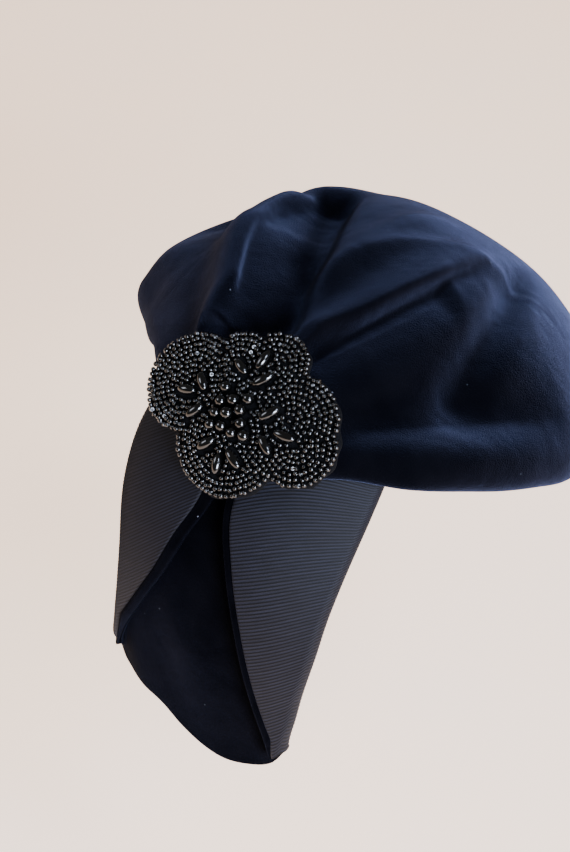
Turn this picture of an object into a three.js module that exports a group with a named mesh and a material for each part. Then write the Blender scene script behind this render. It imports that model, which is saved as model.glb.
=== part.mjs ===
// A draped evening hat in navy velvet. A puffed crown covers the hollow that it is worn over. Its folds run
// out from a beaded flower at the back, and a velvet tail hangs below the flower with both sides folded
// forward, so that their ribbed facings show.
// Millimetres and degrees, +Z up. The wearer faces +Y. The origin is the top of the hollow.
import * as THREE from 'three';

// The hollow that the hat is cut for: half axes of an ellipsoid whose top is the origin. Heights are
// measured over it.
const hollow = { side: 77, back: 97, up: 92 };

// Cloth.
const crownWall = 2.3;
const tailWall = 2.0;
const facingWall = 1.0;
const facingGap = 0.45;

// Crown: where the pleats gather and the middle of the crown's edge, as azimuths (0 is the back, + the
// wearer's right) and latitudes, then its columns and rows, and how high it is under the flower.
const gather = { azimuth: -4.5, latitude: 51 };
const middle = { azimuth: 180, latitude: 80 };
const crownColumns = 56;
const crownRows = 20;
const edgeRows = 4;
const pressedHeight = 12;

// The crown's columns lean so that they run along the roll: around which bearing, how wide, and how soon
// it ends.
const lean = { bearing: -44, spread: 30, ends: 0.35 };

// The crown's edge: bearing around the middle (0 is the back, + the wearer's right), reach from the middle
// in degrees, radius of the rolled edge in mm, how far the roll turns under in degrees, and the height of
// its lower side in mm.
const edge = [
  { bearing: -159, reach: 65.0, roll: 4.0, turn: 92, low: 0.6 },
  { bearing: -122, reach: 67.2, roll: 5.5, turn: 105, low: 1.8 },
  { bearing: -96, reach: 66.8, roll: 8.0, turn: 140, low: 2.6 },
  { bearing: -80, reach: 63.8, roll: 9.0, turn: 150, low: 2.6 },
  { bearing: -69, reach: 59.7, roll: 9.0, turn: 150, low: 2.6 },
  { bearing: -54, reach: 55.4, roll: 8.0, turn: 140, low: 3.2 },
  { bearing: -43, reach: 52.5, roll: 5.0, turn: 95, low: 7.4 },
  { bearing: -22, reach: 55.2, roll: 3.5, turn: 90, low: 7.4 },
  { bearing: -9, reach: 57.9, roll: 3.5, turn: 90, low: 7.4 },
  { bearing: 9, reach: 57.9, roll: 3.5, turn: 90, low: 7.4 },
  { bearing: 28, reach: 55.4, roll: 3.5, turn: 90, low: 7.4 },
  { bearing: 44, reach: 57.0, roll: 5.0, turn: 92, low: 7.4 },
  { bearing: 56, reach: 58.5, roll: 8.0, turn: 140, low: 3.2 },
  { bearing: 64, reach: 60.0, roll: 9.0, turn: 150, low: 2.6 },
  { bearing: 75, reach: 62.2, roll: 9.0, turn: 150, low: 2.6 },
  { bearing: 85, reach: 64.5, roll: 8.5, turn: 145, low: 2.6 },
  { bearing: 106, reach: 66.5, roll: 6.5, turn: 120, low: 1.8 },
  { bearing: 137, reach: 65.5, roll: 4.0, turn: 95, low: 0.6 },
  { bearing: 169, reach: 64.5, roll: 4.0, turn: 92, low: 0.6 },
];

// Height of the velvet in mm, at these shares of the way from the middle to the edge.
const shares = [0, 0.25, 0.45, 0.62, 0.78, 0.92];
const puff = [
  { bearing: -143, heights: [10, 9.9, 10.2, 10.5, 9.3, 8.2] },
  { bearing: -117, heights: [10.1, 10.8, 12.2, 11.5, 10.7, 9.6] },
  { bearing: -94, heights: [10, 10.8, 11.4, 14, 17.7, 16.4] },
  { bearing: -80, heights: [10, 10.9, 11.8, 16.2, 22.4, 20.5] },
  { bearing: -72, heights: [10, 11, 12.2, 16, 22.4, 22] },
  { bearing: -62, heights: [10, 11.4, 13.6, 15.8, 17.4, 15.4] },
  { bearing: -39, heights: [10, 11.5, 12, 12, 12.3, 12.4] },
  { bearing: 0, heights: [10, 11.5, 12, 11.8, 11.6, 11.6] },
  { bearing: 35, heights: [10, 11.5, 11, 10.5, 10.4, 12.5] },
  { bearing: 59, heights: [10, 11, 10.5, 9, 8.6, 14.7] },
  { bearing: 85, heights: [10, 9.5, 9, 9, 10, 12.5] },
  { bearing: 111, heights: [10, 7.9, 6.4, 5.8, 5.6, 7] },
  { bearing: 143, heights: [10, 6.8, 4.6, 4, 3.6, 4.6] },
  { bearing: 180, heights: [10, 7.6, 5, 4, 4.2, 4.7] },
];

// Folds that run out from the gather. from and to are degrees from it, bearings are the four control values
// of the fold's path (0 is up, + the wearer's right), height and the widths to its two sides are in mm,
// powers say how square each side's shoulder is, and fadeIn and fadeOut are in degrees.
const folds = [
  {
    name: 'roll', from: 8, to: 72, bearings: [-60, -50, -44, -28],
    height: 7.5, widths: [6.5, 5.5], powers: [2.2, 2.2], fadeIn: 6, fadeOut: 12,
  },
  {
    name: 'valley', from: 8, to: 60, bearings: [-28, -50, -42, -32],
    height: -6.5, widths: [5, 12], powers: [1.8, 1.6], fadeIn: 6, fadeOut: 12,
  },
  {
    name: 'ridge', from: 18, to: 68, bearings: [-10, -8, -2, 10],
    height: 3, widths: [6, 6], powers: [2, 2], fadeIn: 10, fadeOut: 16,
  },
  {
    name: 'line', from: 22, to: 72, bearings: [-4, 11, 17, 26],
    height: 2, widths: [4.5, 6], powers: [2, 2], fadeIn: 10, fadeOut: 18,
  },
  {
    name: 'vale', from: 16, to: 62, bearings: [6, 14, 20, 26],
    height: -1.5, widths: [7, 7], powers: [2, 2], fadeIn: 8, fadeOut: 20,
  },
  {
    name: 'pleat', from: 10, to: 68, bearings: [17, 35, 31, 23],
    height: 4.5, widths: [6, 4], powers: [1.6, 2.2], fadeIn: 6, fadeOut: 24,
  },
  {
    name: 'pocket', from: 12, to: 48, bearings: [34, 36, 33, 32],
    height: -4, widths: [4, 4], powers: [2, 2], fadeIn: 6, fadeOut: 5,
  },
];

// A soft channel on the wearer's right that runs around the gather, from and to these bearings, at these
// distances.
const channel = {
  from: 16, to: 68, distances: [72, 49, 31, 41], height: -3, width: 7, fadeIn: 12, fadeOut: 14,
};

// Tail: the height above the hollow's middle where it starts, the hem's height across it (-1 is the left
// fold, 1 the right one), and its folds and the edges of its two lapels as angles around the hollow.
const tailTop = 70;
const hem = [
  { across: -1, z: -25.5 }, { across: -0.9, z: -28.5 }, { across: -0.75, z: -28 },
  { across: -0.5, z: -26.2 }, { across: -0.25, z: -26.8 }, { across: 0, z: -32.6 },
  { across: 0.25, z: -37 }, { across: 0.5, z: -39.8 }, { across: 0.75, z: -38.8 },
  { across: 0.9, z: -35.4 }, { across: 1, z: -29.3 },
];
const tail = [
  { down: 0, leftFold: -38.5, rightFold: 45.5, leftEdge: 0.2, rightEdge: 3.8 },
  { down: 0.12, leftFold: -36, rightFold: 39.7, leftEdge: 0, rightEdge: 4.2 },
  { down: 0.25, leftFold: -30.6, rightFold: 34.9, leftEdge: -3.7, rightEdge: 8 },
  { down: 0.4, leftFold: -23.9, rightFold: 31.1, leftEdge: -7.3, rightEdge: 11.9 },
  { down: 0.55, leftFold: -21.3, rightFold: 28.7, leftEdge: -12.5, rightEdge: 14.9 },
  { down: 0.7, leftFold: -21.3, rightFold: 26.4, leftEdge: -17.8, rightEdge: 17.5 },
  { down: 0.82, leftFold: -23.2, rightFold: 24.9, leftEdge: -21.3, rightEdge: 19.6 },
  { down: 0.92, leftFold: -25.7, rightFold: 23.6, leftEdge: -24.1, rightEdge: 20.9 },
  { down: 1, leftFold: -29, rightFold: 23.6, leftEdge: -28.6, rightEdge: 23 },
];
const tailRows = 18;
const rowStep = 1 / (tailRows - 0.75);
const panelHeight = 2.0;
const foldRadius = 2.0;
const lapelPoints = 3;
const foldPoints = 4;
const panelPoints = 8;

// The velvet edge that is turned over each facing: distance from the lapel's edge, and its height over the
// lapel. It is narrower on the right, where its distances and the facing's start are scaled.
const turned = [
  { at: 0, rise: 1.5 }, { at: 0.8, rise: 2.5 }, { at: 2.4, rise: 2.7 }, { at: 3.4, rise: 2.4 },
  { at: 3.8, rise: 1 },
];
const turnedScale = { left: 1, right: 0.6 };
const turnedWhole = 5;
const facingStart = 4.3;
const facingTurn = 75;
const facingEnd = { left: 0.77, right: 0.9 };

// Beaded flower: its lobes as circles around the gather (x to the wearer's right, y up), thickness and
// bending.
const lobes = [
  { x: -15.1, y: 1.4, radius: 16 },
  { x: -3.4, y: 11.7, radius: 11.6 },
  { x: 7.2, y: 17.2, radius: 11 },
  { x: 21.4, y: 4.8, radius: 15 },
  { x: 27.6, y: -0.6, radius: 12.2 },
  { x: 14.9, y: -9.6, radius: 8.8 },
  { x: 7, y: -7.4, radius: 18.3 },
];
const backing = {
  centre: { x: 3, y: -0.5 }, seat: 12.45, wall: 1.8, columns: 54, scallop: 0.4,
  sideBend: 200, upperBend: 250, lowerBend: 90,
};

// Its round beads (diameter) and oval beads (length, width and the angle of the long axis).
const beadGap = 0.3;
const pearls = [
  { x: -2.3, y: 4.6, diameter: 3.6 }, { x: -1.3, y: 0.1, diameter: 3.6 },
  { x: 2.4, y: 2.2, diameter: 3.8 }, { x: 6.7, y: 4.6, diameter: 3.8 },
  { x: -0.9, y: -3.7, diameter: 3.4 }, { x: 2.9, y: -2.2, diameter: 4.1 },
  { x: 6.3, y: 0.5, diameter: 3.9 }, { x: -0.4, y: -7.5, diameter: 3.5 },
  { x: 3.3, y: -6.4, diameter: 3.6 }, { x: 8.7, y: -2.9, diameter: 3.7 },
  { x: 7.5, y: -6.7, diameter: 3.5 }, { x: 11.7, y: -5.7, diameter: 3.8 },
];
const ovals = [
  { x: -14.3, y: -1.8, angle: 18, length: 6.6, width: 3.2 },
  { x: -10.8, y: 2.7, angle: -40, length: 6.6, width: 3.2 },
  { x: -7.8, y: -6.2, angle: 60, length: 6.6, width: 3.1 },
  { x: -1.7, y: 12.2, angle: -23, length: 6.2, width: 3.1 },
  { x: 3.5, y: 17.2, angle: 87, length: 6.9, width: 3 },
  { x: 7.2, y: 11.9, angle: 57, length: 7.4, width: 3 },
  { x: 15.1, y: 3.9, angle: 57, length: 7.4, width: 3.2 },
  { x: 1.4, y: -13.1, angle: 54, length: 6.6, width: 3.2 },
  { x: 7.8, y: -16.7, angle: 107, length: 6.5, width: 3.1 },
  { x: 11.9, y: -13.1, angle: -25, length: 7.4, width: 3.2 },
  { x: 19, y: -4.9, angle: -32, length: 7, width: 3.2 },
  { x: 22.9, y: 0.2, angle: 9, length: 7.6, width: 3.2 },
];
const beadSides = 10;
const beadRows = 6;

const degree = Math.PI / 180;
const mmPerDegree = 88 * degree;
const clamp = (x, low, high) => Math.min(Math.max(x, low), high);
const smooth = (x) => { const s = clamp(x, 0, 1); return s * s * (3 - 2 * s); };

// A smooth curve through a table's values, the same from one end round to the other.
function around(table, key, value, x) {
  const count = table.length;
  const turn = ((x - table[0][key]) % 360 + 360) % 360 + table[0][key];
  const at = (i) => table[((i % count) + count) % count][key] + 360 * Math.floor(i / count);
  const of = (i) => value(table[((i % count) + count) % count]);
  let i = 0;
  while (i < count - 1 && at(i + 1) <= turn) i += 1;
  return hermite(turn, [at(i - 1), at(i), at(i + 1), at(i + 2)], [of(i - 1), of(i), of(i + 1), of(i + 2)]);
}

// A smooth curve through a table's values, level beyond its ends.
function along(places, values, x, flatEnds) {
  const last = places.length - 1;
  const at = clamp(x, places[0], places[last]);
  let i = 0;
  while (i < last - 1 && places[i + 1] <= at) i += 1;
  const before = i > 0 ? i - 1 : i;
  const after = i + 2 <= last ? i + 2 : last;
  const slopes = flatEnds
    ? [i === 0 ? 0 : null, i + 1 === last ? 0 : null]
    : [null, null];
  return hermite(at, [places[before], places[i], places[i + 1], places[after]],
    [values[before], values[i], values[i + 1], values[after]], slopes);
}

// The cubic between the middle two of four places, with slopes taken across their neighbours.
function hermite(x, places, values, slopes = [null, null]) {
  const width = places[2] - places[1];
  const t = (x - places[1]) / width;
  const first = slopes[0] ?? (values[2] - values[0]) / (places[2] - places[0]);
  const second = slopes[1] ?? (values[3] - values[1]) / (places[3] - places[1]);
  return (2 * t ** 3 - 3 * t ** 2 + 1) * values[1] + (t ** 3 - 2 * t ** 2 + t) * first * width
    + (3 * t ** 2 - 2 * t ** 3) * values[2] + (t ** 3 - t ** 2) * second * width;
}

function bezier([first, second, third, last], x) {
  const s = clamp(x, 0, 1);
  const r = 1 - s;
  return first * r ** 3 + 3 * second * s * r ** 2 + 3 * third * s * s * r + last * s ** 3;
}

// The unit direction of an azimuth (0 is the back, + the wearer's right) and a latitude.
function unit({ azimuth, latitude }) {
  const a = azimuth * degree;
  const l = latitude * degree;
  return new THREE.Vector3(Math.sin(a) * Math.cos(l), -Math.cos(a) * Math.cos(l), Math.sin(l));
}

// The hollow's normal in a direction, and the point at a height over it.
function normalOf({ x, y, z }) {
  return new THREE.Vector3(x / hollow.side, y / hollow.back, z / hollow.up).normalize();
}
function over(direction, height) {
  const { x, y, z } = direction;
  return new THREE.Vector3(x * hollow.side, y * hollow.back, (z - 1) * hollow.up)
    .addScaledVector(normalOf(direction), height);
}

// The direction at a share of the way from one direction to another.
function between(from, to, share) {
  const angle = from.angleTo(to);
  return from.clone().multiplyScalar(Math.sin(angle * (1 - share)) / Math.sin(angle))
    .addScaledVector(to, Math.sin(angle * share) / Math.sin(angle));
}

// Distances and bearings around a direction, in degrees, with bearing 0 towards another direction.
function compass(centre, towards) {
  const ahead = towards.clone().addScaledVector(centre, -towards.dot(centre)).normalize();
  const right = new THREE.Vector3().crossVectors(ahead, centre);
  if (right.x < 0) right.negate();
  return {
    read: (direction) => ({
      distance: Math.acos(clamp(direction.dot(centre), -1, 1)) / degree,
      bearing: Math.atan2(direction.dot(right), direction.dot(ahead)) / degree,
    }),
    direction: (distance, bearing) => centre.clone().multiplyScalar(Math.cos(distance * degree))
      .addScaledVector(ahead, Math.sin(distance * degree) * Math.cos(bearing * degree))
      .addScaledVector(right, Math.sin(distance * degree) * Math.sin(bearing * degree)),
  };
}
const up = new THREE.Vector3(0, 0, 1);
const backward = new THREE.Vector3(0, -1, 0);
const gatherCompass = compass(unit(gather), up);
const middleCompass = compass(unit(middle), backward);

// How deep the flower's backing is bent back at a place, and how far a place is outside its lobes.
function bend(x, y) {
  return x * x / (2 * backing.sideBend) + y * y / (2 * (y < 0 ? backing.lowerBend : backing.upperBend));
}
function outside(x, y) {
  return Math.min(...lobes.map((lobe) => Math.hypot(x - lobe.x, y - lobe.y) - lobe.radius));
}

function profile(distance, widths, powers) {
  const side = distance < 0 ? 0 : 1;
  return Math.exp(-(Math.abs(distance / widths[side]) ** powers[side]));
}

// The sum of all the folds in a direction, in mm.
function foldHeight({ distance, bearing }) {
  const span = Math.sin(distance * degree) * 88;
  let height = 0;
  for (const fold of folds) {
    const off = bearing - bezier(fold.bearings, (distance - fold.from) / (fold.to - fold.from));
    const near = ((off + 180) % 360 + 360) % 360 - 180;
    height += fold.height * smooth((distance - fold.from) / fold.fadeIn)
      * smooth((fold.to - distance) / fold.fadeOut)
      * profile(near * degree * span, fold.widths, fold.powers);
  }
  const off = distance - bezier(channel.distances, (bearing - channel.from) / (channel.to - channel.from));
  height += channel.height * smooth((bearing - channel.from) / channel.fadeIn)
    * smooth((channel.to - bearing) / channel.fadeOut)
    * profile(off * mmPerDegree, [channel.width, channel.width], [2, 2]);
  return height;
}

// The velvet's height in a direction: the puff and the folds, pressed down under the flower.
function crownHeight(direction) {
  const { distance, bearing } = middleCompass.read(direction);
  const reach = around(edge, 'bearing', (row) => row.reach, bearing);
  const share = clamp(distance / reach, 0, shares[shares.length - 1]);
  const heights = shares.map((_, i) => around(puff, 'bearing', (row) => row.heights[i], bearing));
  const inside = smooth((reach - distance) / 7);
  const fromGather = gatherCompass.read(direction);
  const free = along(shares, heights, share, true) + foldHeight(fromGather) * (0.15 + 0.85 * inside);
  const span = fromGather.distance * mmPerDegree;
  const x = span * Math.sin(fromGather.bearing * degree);
  const y = span * Math.cos(fromGather.bearing * degree);
  const press = pressedHeight + span * span / 180 - bend(x, y) + 30 * smooth((outside(x, y) + 1) / 12);
  const blend = clamp(0.5 + 0.5 * (press - free) / 1.2, 0, 1);
  return press * (1 - blend) + free * blend - 1.2 * blend * (1 - blend);
}

// Turns a list of triangles into a geometry whose faces point out.
function geometryOf(points, triangles) {
  let volume = 0;
  const square = new THREE.Vector3();
  for (const [a, b, c] of triangles) {
    volume += points[a].dot(square.crossVectors(points[b], points[c]));
  }
  const order = volume < 0 ? triangles.map(([a, b, c]) => [a, c, b]) : triangles;
  const geometry = new THREE.BufferGeometry().setFromPoints(points);
  geometry.setIndex(order.flat());
  geometry.computeVertexNormals();
  return geometry;
}

// A closed body from rings of equal length between two end points.
function bodyOfRings(first, rings, last) {
  const count = rings[0].length;
  const points = [first, ...rings.flat(), last];
  const at = (ring, i) => 1 + ring * count + (i % count);
  const triangles = [];
  for (let i = 0; i < count; i += 1) {
    triangles.push([0, at(0, i), at(0, i + 1)]);
    for (let ring = 0; ring < rings.length - 1; ring += 1) {
      triangles.push([at(ring, i), at(ring + 1, i), at(ring + 1, i + 1)]);
      triangles.push([at(ring, i), at(ring + 1, i + 1), at(ring, i + 1)]);
    }
    triangles.push([points.length - 1, at(rings.length - 1, i + 1), at(rings.length - 1, i)]);
  }
  return geometryOf(points, triangles);
}

// A closed body from sections. Each is a strip's two sides, of equal length.
function bodyOfStrips(sections) {
  const width = sections[0].front.length;
  const loop = 2 * width;
  const points = sections.flatMap(({ front, rear }) => [...front, ...rear.slice().reverse()]);
  const at = (section, i) => section * loop + ((i + loop) % loop);
  const triangles = [];
  for (let section = 0; section < sections.length - 1; section += 1) {
    for (let i = 0; i < loop; i += 1) {
      triangles.push([at(section, i), at(section + 1, i), at(section + 1, i + 1)]);
      triangles.push([at(section, i), at(section + 1, i + 1), at(section, i + 1)]);
    }
  }
  const last = sections.length - 1;
  for (let i = 0; i < width - 1; i += 1) {
    triangles.push([at(0, i), at(0, i + 1), at(0, loop - 2 - i)],
      [at(0, i), at(0, loop - 2 - i), at(0, loop - 1 - i)]);
    triangles.push([at(last, i), at(last, loop - 2 - i), at(last, i + 1)],
      [at(last, i), at(last, loop - 1 - i), at(last, loop - 2 - i)]);
  }
  return geometryOf(points, triangles);
}

// A direction on one of the crown's columns, moved sideways to follow the roll.
function leant(direction, share) {
  const { distance, bearing } = gatherCompass.read(direction);
  const roll = folds[0];
  const turn = bezier(roll.bearings, (distance - roll.from) / (roll.to - roll.from)) - lean.bearing;
  const near = Math.exp(-(((bearing - lean.bearing) / lean.spread) ** 2));
  return gatherCompass.direction(distance, bearing + turn * near * smooth((1 - share) / lean.ends));
}

// The crown is one sheet of velvet: out over the folds, around the edge and back inside.
function crownGeometry() {
  const outer = [];
  const inner = [];
  for (let row = 1; row <= crownRows + edgeRows; row += 1) {
    outer.push([]);
    inner.push([]);
  }
  for (let column = 0; column < crownColumns; column += 1) {
    const bearing = column * 360 / crownColumns;
    const [reach, roll, turn, low] = ['reach', 'roll', 'turn', 'low']
      .map((key) => around(edge, 'bearing', (row) => row[key], bearing));
    const rolled = roll / mmPerDegree;
    const thinned = (roll - crownWall) / mmPerDegree;
    const start = middleCompass.direction(reach - rolled, bearing);
    for (let row = 1; row <= crownRows; row += 1) {
      const direction = leant(between(unit(gather), start, row / crownRows), row / crownRows);
      const height = crownHeight(direction);
      outer[row - 1].push(over(direction, height));
      inner[row - 1].push(over(direction, height - crownWall));
    }
    const top = crownHeight(start);
    const half = Math.min((top + low) / 2, top - crownWall);
    for (let row = 1; row <= edgeRows; row += 1) {
      const angle = turn * degree * row / edgeRows;
      const outerWay = middleCompass.direction(reach - rolled + rolled * Math.sin(angle), bearing);
      const innerWay = middleCompass.direction(reach - rolled + thinned * Math.sin(angle), bearing);
      outer[crownRows + row - 1].push(over(outerWay, half + (top - half) * Math.cos(angle)));
      inner[crownRows + row - 1].push(over(innerWay, half + (top - half - crownWall) * Math.cos(angle)));
    }
  }
  const centre = unit(gather);
  return bodyOfRings(over(centre, crownHeight(centre)), [...outer, ...inner.reverse()],
    over(centre, crownHeight(centre) - crownWall));
}

// Where the tail's cloth lies: an angle around the hollow, a place down the tail, and a height.
function tailPlace(down) {
  const read = (key) => along(tail.map((row) => row.down), tail.map((row) => row[key]), down, false);
  const place = {
    leftFold: read('leftFold'), rightFold: read('rightFold'),
    leftEdge: read('leftEdge'), rightEdge: read('rightEdge'),
  };
  const width = place.rightFold - place.leftFold;
  place.across = (angle) => (2 * angle - place.leftFold - place.rightFold) / width;
  place.z = (angle) => {
    const foot = along(hem.map((row) => row.across), hem.map((row) => row.z), place.across(angle), false);
    return tailTop + (foot - tailTop) * down;
  };
  place.perDegree = (angle) => {
    const share = Math.max(place.z(angle), 0) / (hollow.up + panelHeight);
    return (hollow.side + panelHeight) * Math.sqrt(1 - share ** 2) * degree;
  };
  place.point = (angle, height) => {
    const z = place.z(angle);
    const shrink = Math.sqrt(1 - (Math.max(z, 0) / (hollow.up + height)) ** 2);
    return new THREE.Vector3((hollow.side + height) * Math.sin(angle * degree) * shrink,
      -(hollow.back + height) * Math.cos(angle * degree) * shrink, z - hollow.up);
  };
  return place;
}

// One of the tail's two folds. A station on it lies at a reach from the fold towards the lapel's edge, or
// round the fold by a turn (0 is on the lapel, 180 on the panel), and the velvet rises over the middle line
// there. turnedBy scales the turned edge, which shrinks where the lapel is narrow. Where the edge has passed
// the fold, the fold opens out and ends as a curl.
function foldOf(place, side) {
  const foldAngle = side < 0 ? place.leftFold : place.rightFold;
  const edgeAngle = side < 0 ? place.leftEdge : place.rightEdge;
  const perDegree = place.perDegree(foldAngle);
  const centre = foldAngle - side * foldRadius / perDegree;
  const length = side * (centre - edgeAngle) * perDegree;
  const opened = clamp(1 + Math.min(length, 0) / 6, 0.4, 1);
  const flat = Math.max(length, 0.02);
  const scale = side < 0 ? turnedScale.left : turnedScale.right;
  return {
    flat,
    turnedBy: scale * Math.min(1, flat / (turnedWhole * scale)),
    station: (reach, turn, rise) => {
      const angle = (180 - (180 - turn) * opened) * degree;
      return {
        angle: centre + side * (foldRadius * Math.sin(angle) - reach) / perDegree,
        height: panelHeight + foldRadius + foldRadius * Math.cos(angle),
        normal: { angle: side * Math.sin(angle) / perDegree, height: Math.cos(angle) },
        rise,
      };
    },
  };
}

// The point at a distance from a station, square to the cloth.
function offset(place, station, distance) {
  const { angle, height, normal } = station;
  return place.point(angle + normal.angle * distance, height + normal.height * distance);
}

// The stations along a lapel, from a distance off the fold to the fold itself.
function lapelStations(station, left, first) {
  const stations = [];
  for (let i = first; i <= lapelPoints; i += 1) stations.push(station(left * (1 - i / lapelPoints), 0, 1));
  return stations;
}

// The stations of one side of the tail, from the lapel's edge over the lapel and round the fold to the
// panel.
function sideStations(place, side) {
  const { flat, turnedBy, station } = foldOf(place, side);
  const lift = Math.min(1, flat / turnedWhole);
  const rim = turned.map(({ at, rise }) => station(flat - at * turnedBy, 0, 1 + (rise - 1) * lift));
  const left = flat - turned[turned.length - 1].at * turnedBy;
  const round = Array.from({ length: foldPoints }, (_, i) => station(0, 180 * (i + 1) / foldPoints, 1));
  return [...rim, ...lapelStations(station, left, 1), ...round];
}

function tailGeometry() {
  const half = tailWall / 2;
  const sections = [];
  for (let row = 0; row <= tailRows; row += 1) {
    const place = tailPlace(row < tailRows ? row * rowStep : 1);
    const thin = row === tailRows ? 0.45 : 1;
    const left = sideStations(place, -1);
    const right = sideStations(place, 1);
    const from = left[left.length - 1].angle;
    const to = right[right.length - 1].angle;
    const panel = [];
    for (let i = 1; i <= panelPoints; i += 1) {
      const angle = from + (to - from) * i / (panelPoints + 1);
      panel.push({ angle, height: panelHeight, normal: { angle: 0, height: -1 }, rise: 1 });
    }
    const path = [...left, ...panel, ...right.reverse()];
    sections.push({
      front: path.map((station) => offset(place, station, half * station.rise * thin)),
      rear: path.map((station) => offset(place, station, -half * thin)),
    });
  }
  return bodyOfStrips(sections);
}

// A facing covers its lapel from the turned velvet edge to the fold, and goes a little way round it.
function facingGeometry(side) {
  const end = side < 0 ? facingEnd.left : facingEnd.right;
  const near = tailWall / 2 + facingGap;
  const sections = [];
  for (let row = 0; row * rowStep < end; row += 1) {
    const place = tailPlace(row * rowStep);
    const { flat, turnedBy, station } = foldOf(place, side);
    const left = Math.max(flat - facingStart * turnedBy, 0.3);
    const round = [station(0, facingTurn / 2, 1), station(0, facingTurn, 1)];
    const strip = [...lapelStations(station, left, 0), ...round];
    sections.push({
      front: strip.map((station) => offset(place, station, near + facingWall)),
      rear: strip.map((station) => offset(place, station, near)),
    });
  }
  return bodyOfStrips(sections);
}

// The flower lies on the crown at the gather: a point at x, y and a height over its underside.
const gatherNormal = normalOf(unit(gather));
const flowerUp = up.clone().addScaledVector(gatherNormal, -gatherNormal.z).normalize();
const flowerRight = new THREE.Vector3().crossVectors(flowerUp, gatherNormal);
function onFlower(x, y, height) {
  return over(unit(gather), backing.seat).addScaledVector(flowerRight, x).addScaledVector(flowerUp, y)
    .addScaledVector(gatherNormal, height - bend(x, y));
}

// The backing's outline: how far it reaches from its centre at an angle, the soft largest of its scalloped
// lobes.
function outline(angle) {
  let sum = 0;
  for (const lobe of lobes) {
    const dx = lobe.x - backing.centre.x;
    const dy = lobe.y - backing.centre.y;
    const middleOfRay = dx * Math.cos(angle) + dy * Math.sin(angle);
    const inside = lobe.radius ** 2 - dx ** 2 - dy ** 2 + middleOfRay ** 2;
    if (inside > 0 && middleOfRay > -lobe.radius) {
      const exit = middleOfRay + Math.sqrt(inside);
      const bearing = Math.atan2(exit * Math.sin(angle) - dy, exit * Math.cos(angle) - dx);
      sum += Math.max(exit + backing.scallop * Math.cos(9 * bearing), 1) ** 24;
    }
  }
  return sum ** (1 / 24);
}

function backingGeometry() {
  const { x, y } = backing.centre;
  const levels = [
    { share: 0.45, height: backing.wall }, { share: 0.93, height: backing.wall },
    { share: 1, height: backing.wall * 0.6 }, { share: 1, height: backing.wall * 0.3 },
    { share: 0.95, height: 0 }, { share: 0.45, height: 0 },
  ];
  const rings = levels.map(({ share, height }) => {
    const ring = [];
    for (let i = 0; i < backing.columns; i += 1) {
      const angle = i * 2 * Math.PI / backing.columns;
      const reach = outline(angle) * share;
      ring.push(onFlower(x + reach * Math.cos(angle), y + reach * Math.sin(angle), height));
    }
    return ring;
  });
  return bodyOfRings(onFlower(x, y, backing.wall), rings, onFlower(x, y, 0));
}

const materials = {
  velvet: () => new THREE.MeshStandardMaterial({ color: 0x0d1224, roughness: 0.95, metalness: 0 }),
  ribbed: () => new THREE.MeshStandardMaterial({ color: 0x34343f, roughness: 0.85, metalness: 0 }),
  net: () => new THREE.MeshStandardMaterial({ color: 0x0c0f1a, roughness: 0.9, metalness: 0 }),
  glass: () => new THREE.MeshStandardMaterial({ color: 0x0a0a0d, roughness: 0.12, metalness: 0 }),
};

const hat = new THREE.Group();
function add(name, geometry, material) {
  const mesh = new THREE.Mesh(geometry, material());
  mesh.name = name;
  hat.add(mesh);
  return mesh;
}

// A bead lies on the backing with its long axis at an angle there.
function addBead(name, bead, length, width, angle) {
  const slope = 0.5;
  const place = onFlower(bead.x, bead.y, backing.wall + beadGap + width / 2);
  const alongX = onFlower(bead.x + slope, bead.y, 0).sub(onFlower(bead.x - slope, bead.y, 0)).normalize();
  const alongY = onFlower(bead.x, bead.y + slope, 0).sub(onFlower(bead.x, bead.y - slope, 0)).normalize();
  const long = alongX.multiplyScalar(Math.cos(angle)).addScaledVector(alongY, Math.sin(angle)).normalize();
  const out = gatherNormal.clone().addScaledVector(long, -gatherNormal.dot(long)).normalize();
  const geometry = new THREE.SphereGeometry(0.5, beadSides, beadRows).scale(width, length, width);
  const mesh = add(name, geometry, materials.glass);
  mesh.position.copy(place);
  const across = new THREE.Vector3().crossVectors(long, out);
  mesh.quaternion.setFromRotationMatrix(new THREE.Matrix4().makeBasis(across, long, out));
}

add('crown', crownGeometry(), materials.velvet);
add('tail', tailGeometry(), materials.velvet);
add('facing_left', facingGeometry(-1), materials.ribbed);
add('facing_right', facingGeometry(1), materials.ribbed);
add('medallion', backingGeometry(), materials.net);
pearls.forEach((pearl, i) => {
  addBead(`pearl_${String(i + 1).padStart(2, '0')}`, pearl, pearl.diameter, pearl.diameter, 0);
});
ovals.forEach((oval, i) => {
  addBead(`oval_${String(i + 1).padStart(2, '0')}`, oval, oval.length, oval.width, oval.angle * degree);
});

export default hat;
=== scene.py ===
# Draped velvet fascinator: the looks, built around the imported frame. Surfaces are worked out in millimetres
# over the hollow that the hat is cut for, and makeMesh takes them to metres.
import bpy
import numpy as np
from mathutils import Matrix, Vector


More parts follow.
